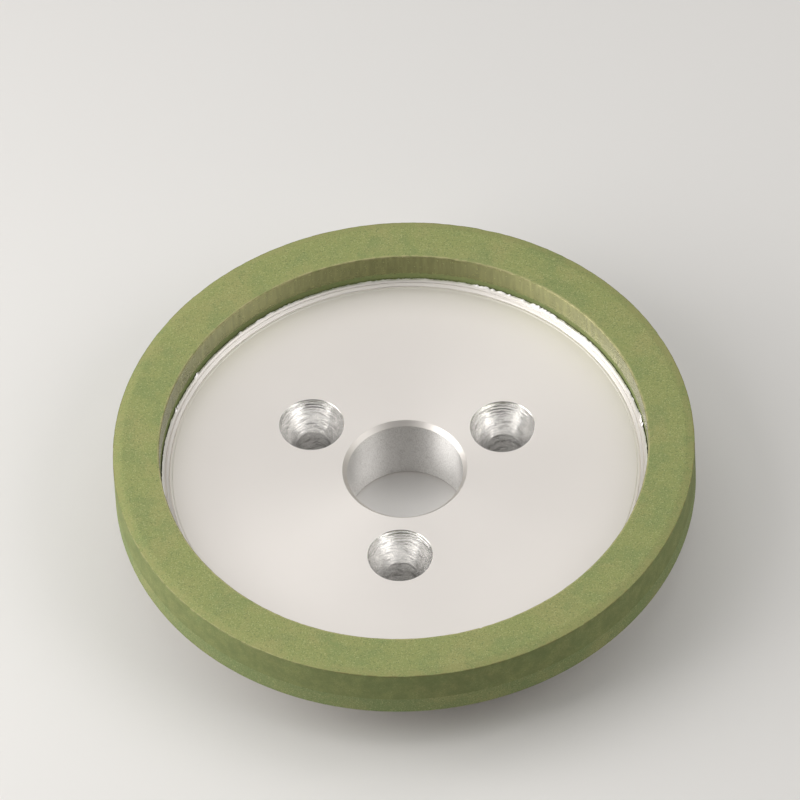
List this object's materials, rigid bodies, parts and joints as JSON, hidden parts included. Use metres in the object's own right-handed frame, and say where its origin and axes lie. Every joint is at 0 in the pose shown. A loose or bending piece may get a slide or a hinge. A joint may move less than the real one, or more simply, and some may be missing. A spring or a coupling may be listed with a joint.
{
  "type": "diamond grinding wheel",
  "caption": "Cup-shaped grinding wheel: a resin-bonded diamond ring round a turned aluminium core with a plain bore and countersunk screw holes.",
  "frame": {"origin": "centre of the hub's flat back seat, the lowest plane of the wheel as it lies on its back", "axes": "+Z along the spindle axis towards the grinding rim; the three screw holes lie at 30, 150 and 270 degrees from +X, so one is on the -Y side"},
  "size_m": [0.15, 0.15, 0.03],
  "materials": {
    "turned_aluminium": "fine-turned bright aluminium, satin on the flat face, with chatter rings in the countersinks and spiral tool marks in the bore",
    "bond_resin": "dark cured adhesive line",
    "backing_resin": "matt grey-green filled resin without diamond, turned on the outside",
    "diamond_resin": "matt olive-green resin bond with fine pale and dark grit, tan rubbed edges and a burnished inner wall"
  },
  "bodies": {
    "root": {"aluminium_core": "turned_aluminium", "bond_film": "bond_resin", "backing_ring": "backing_resin", "diamond_ring": "diamond_resin"}
  },
  "joints": []
}
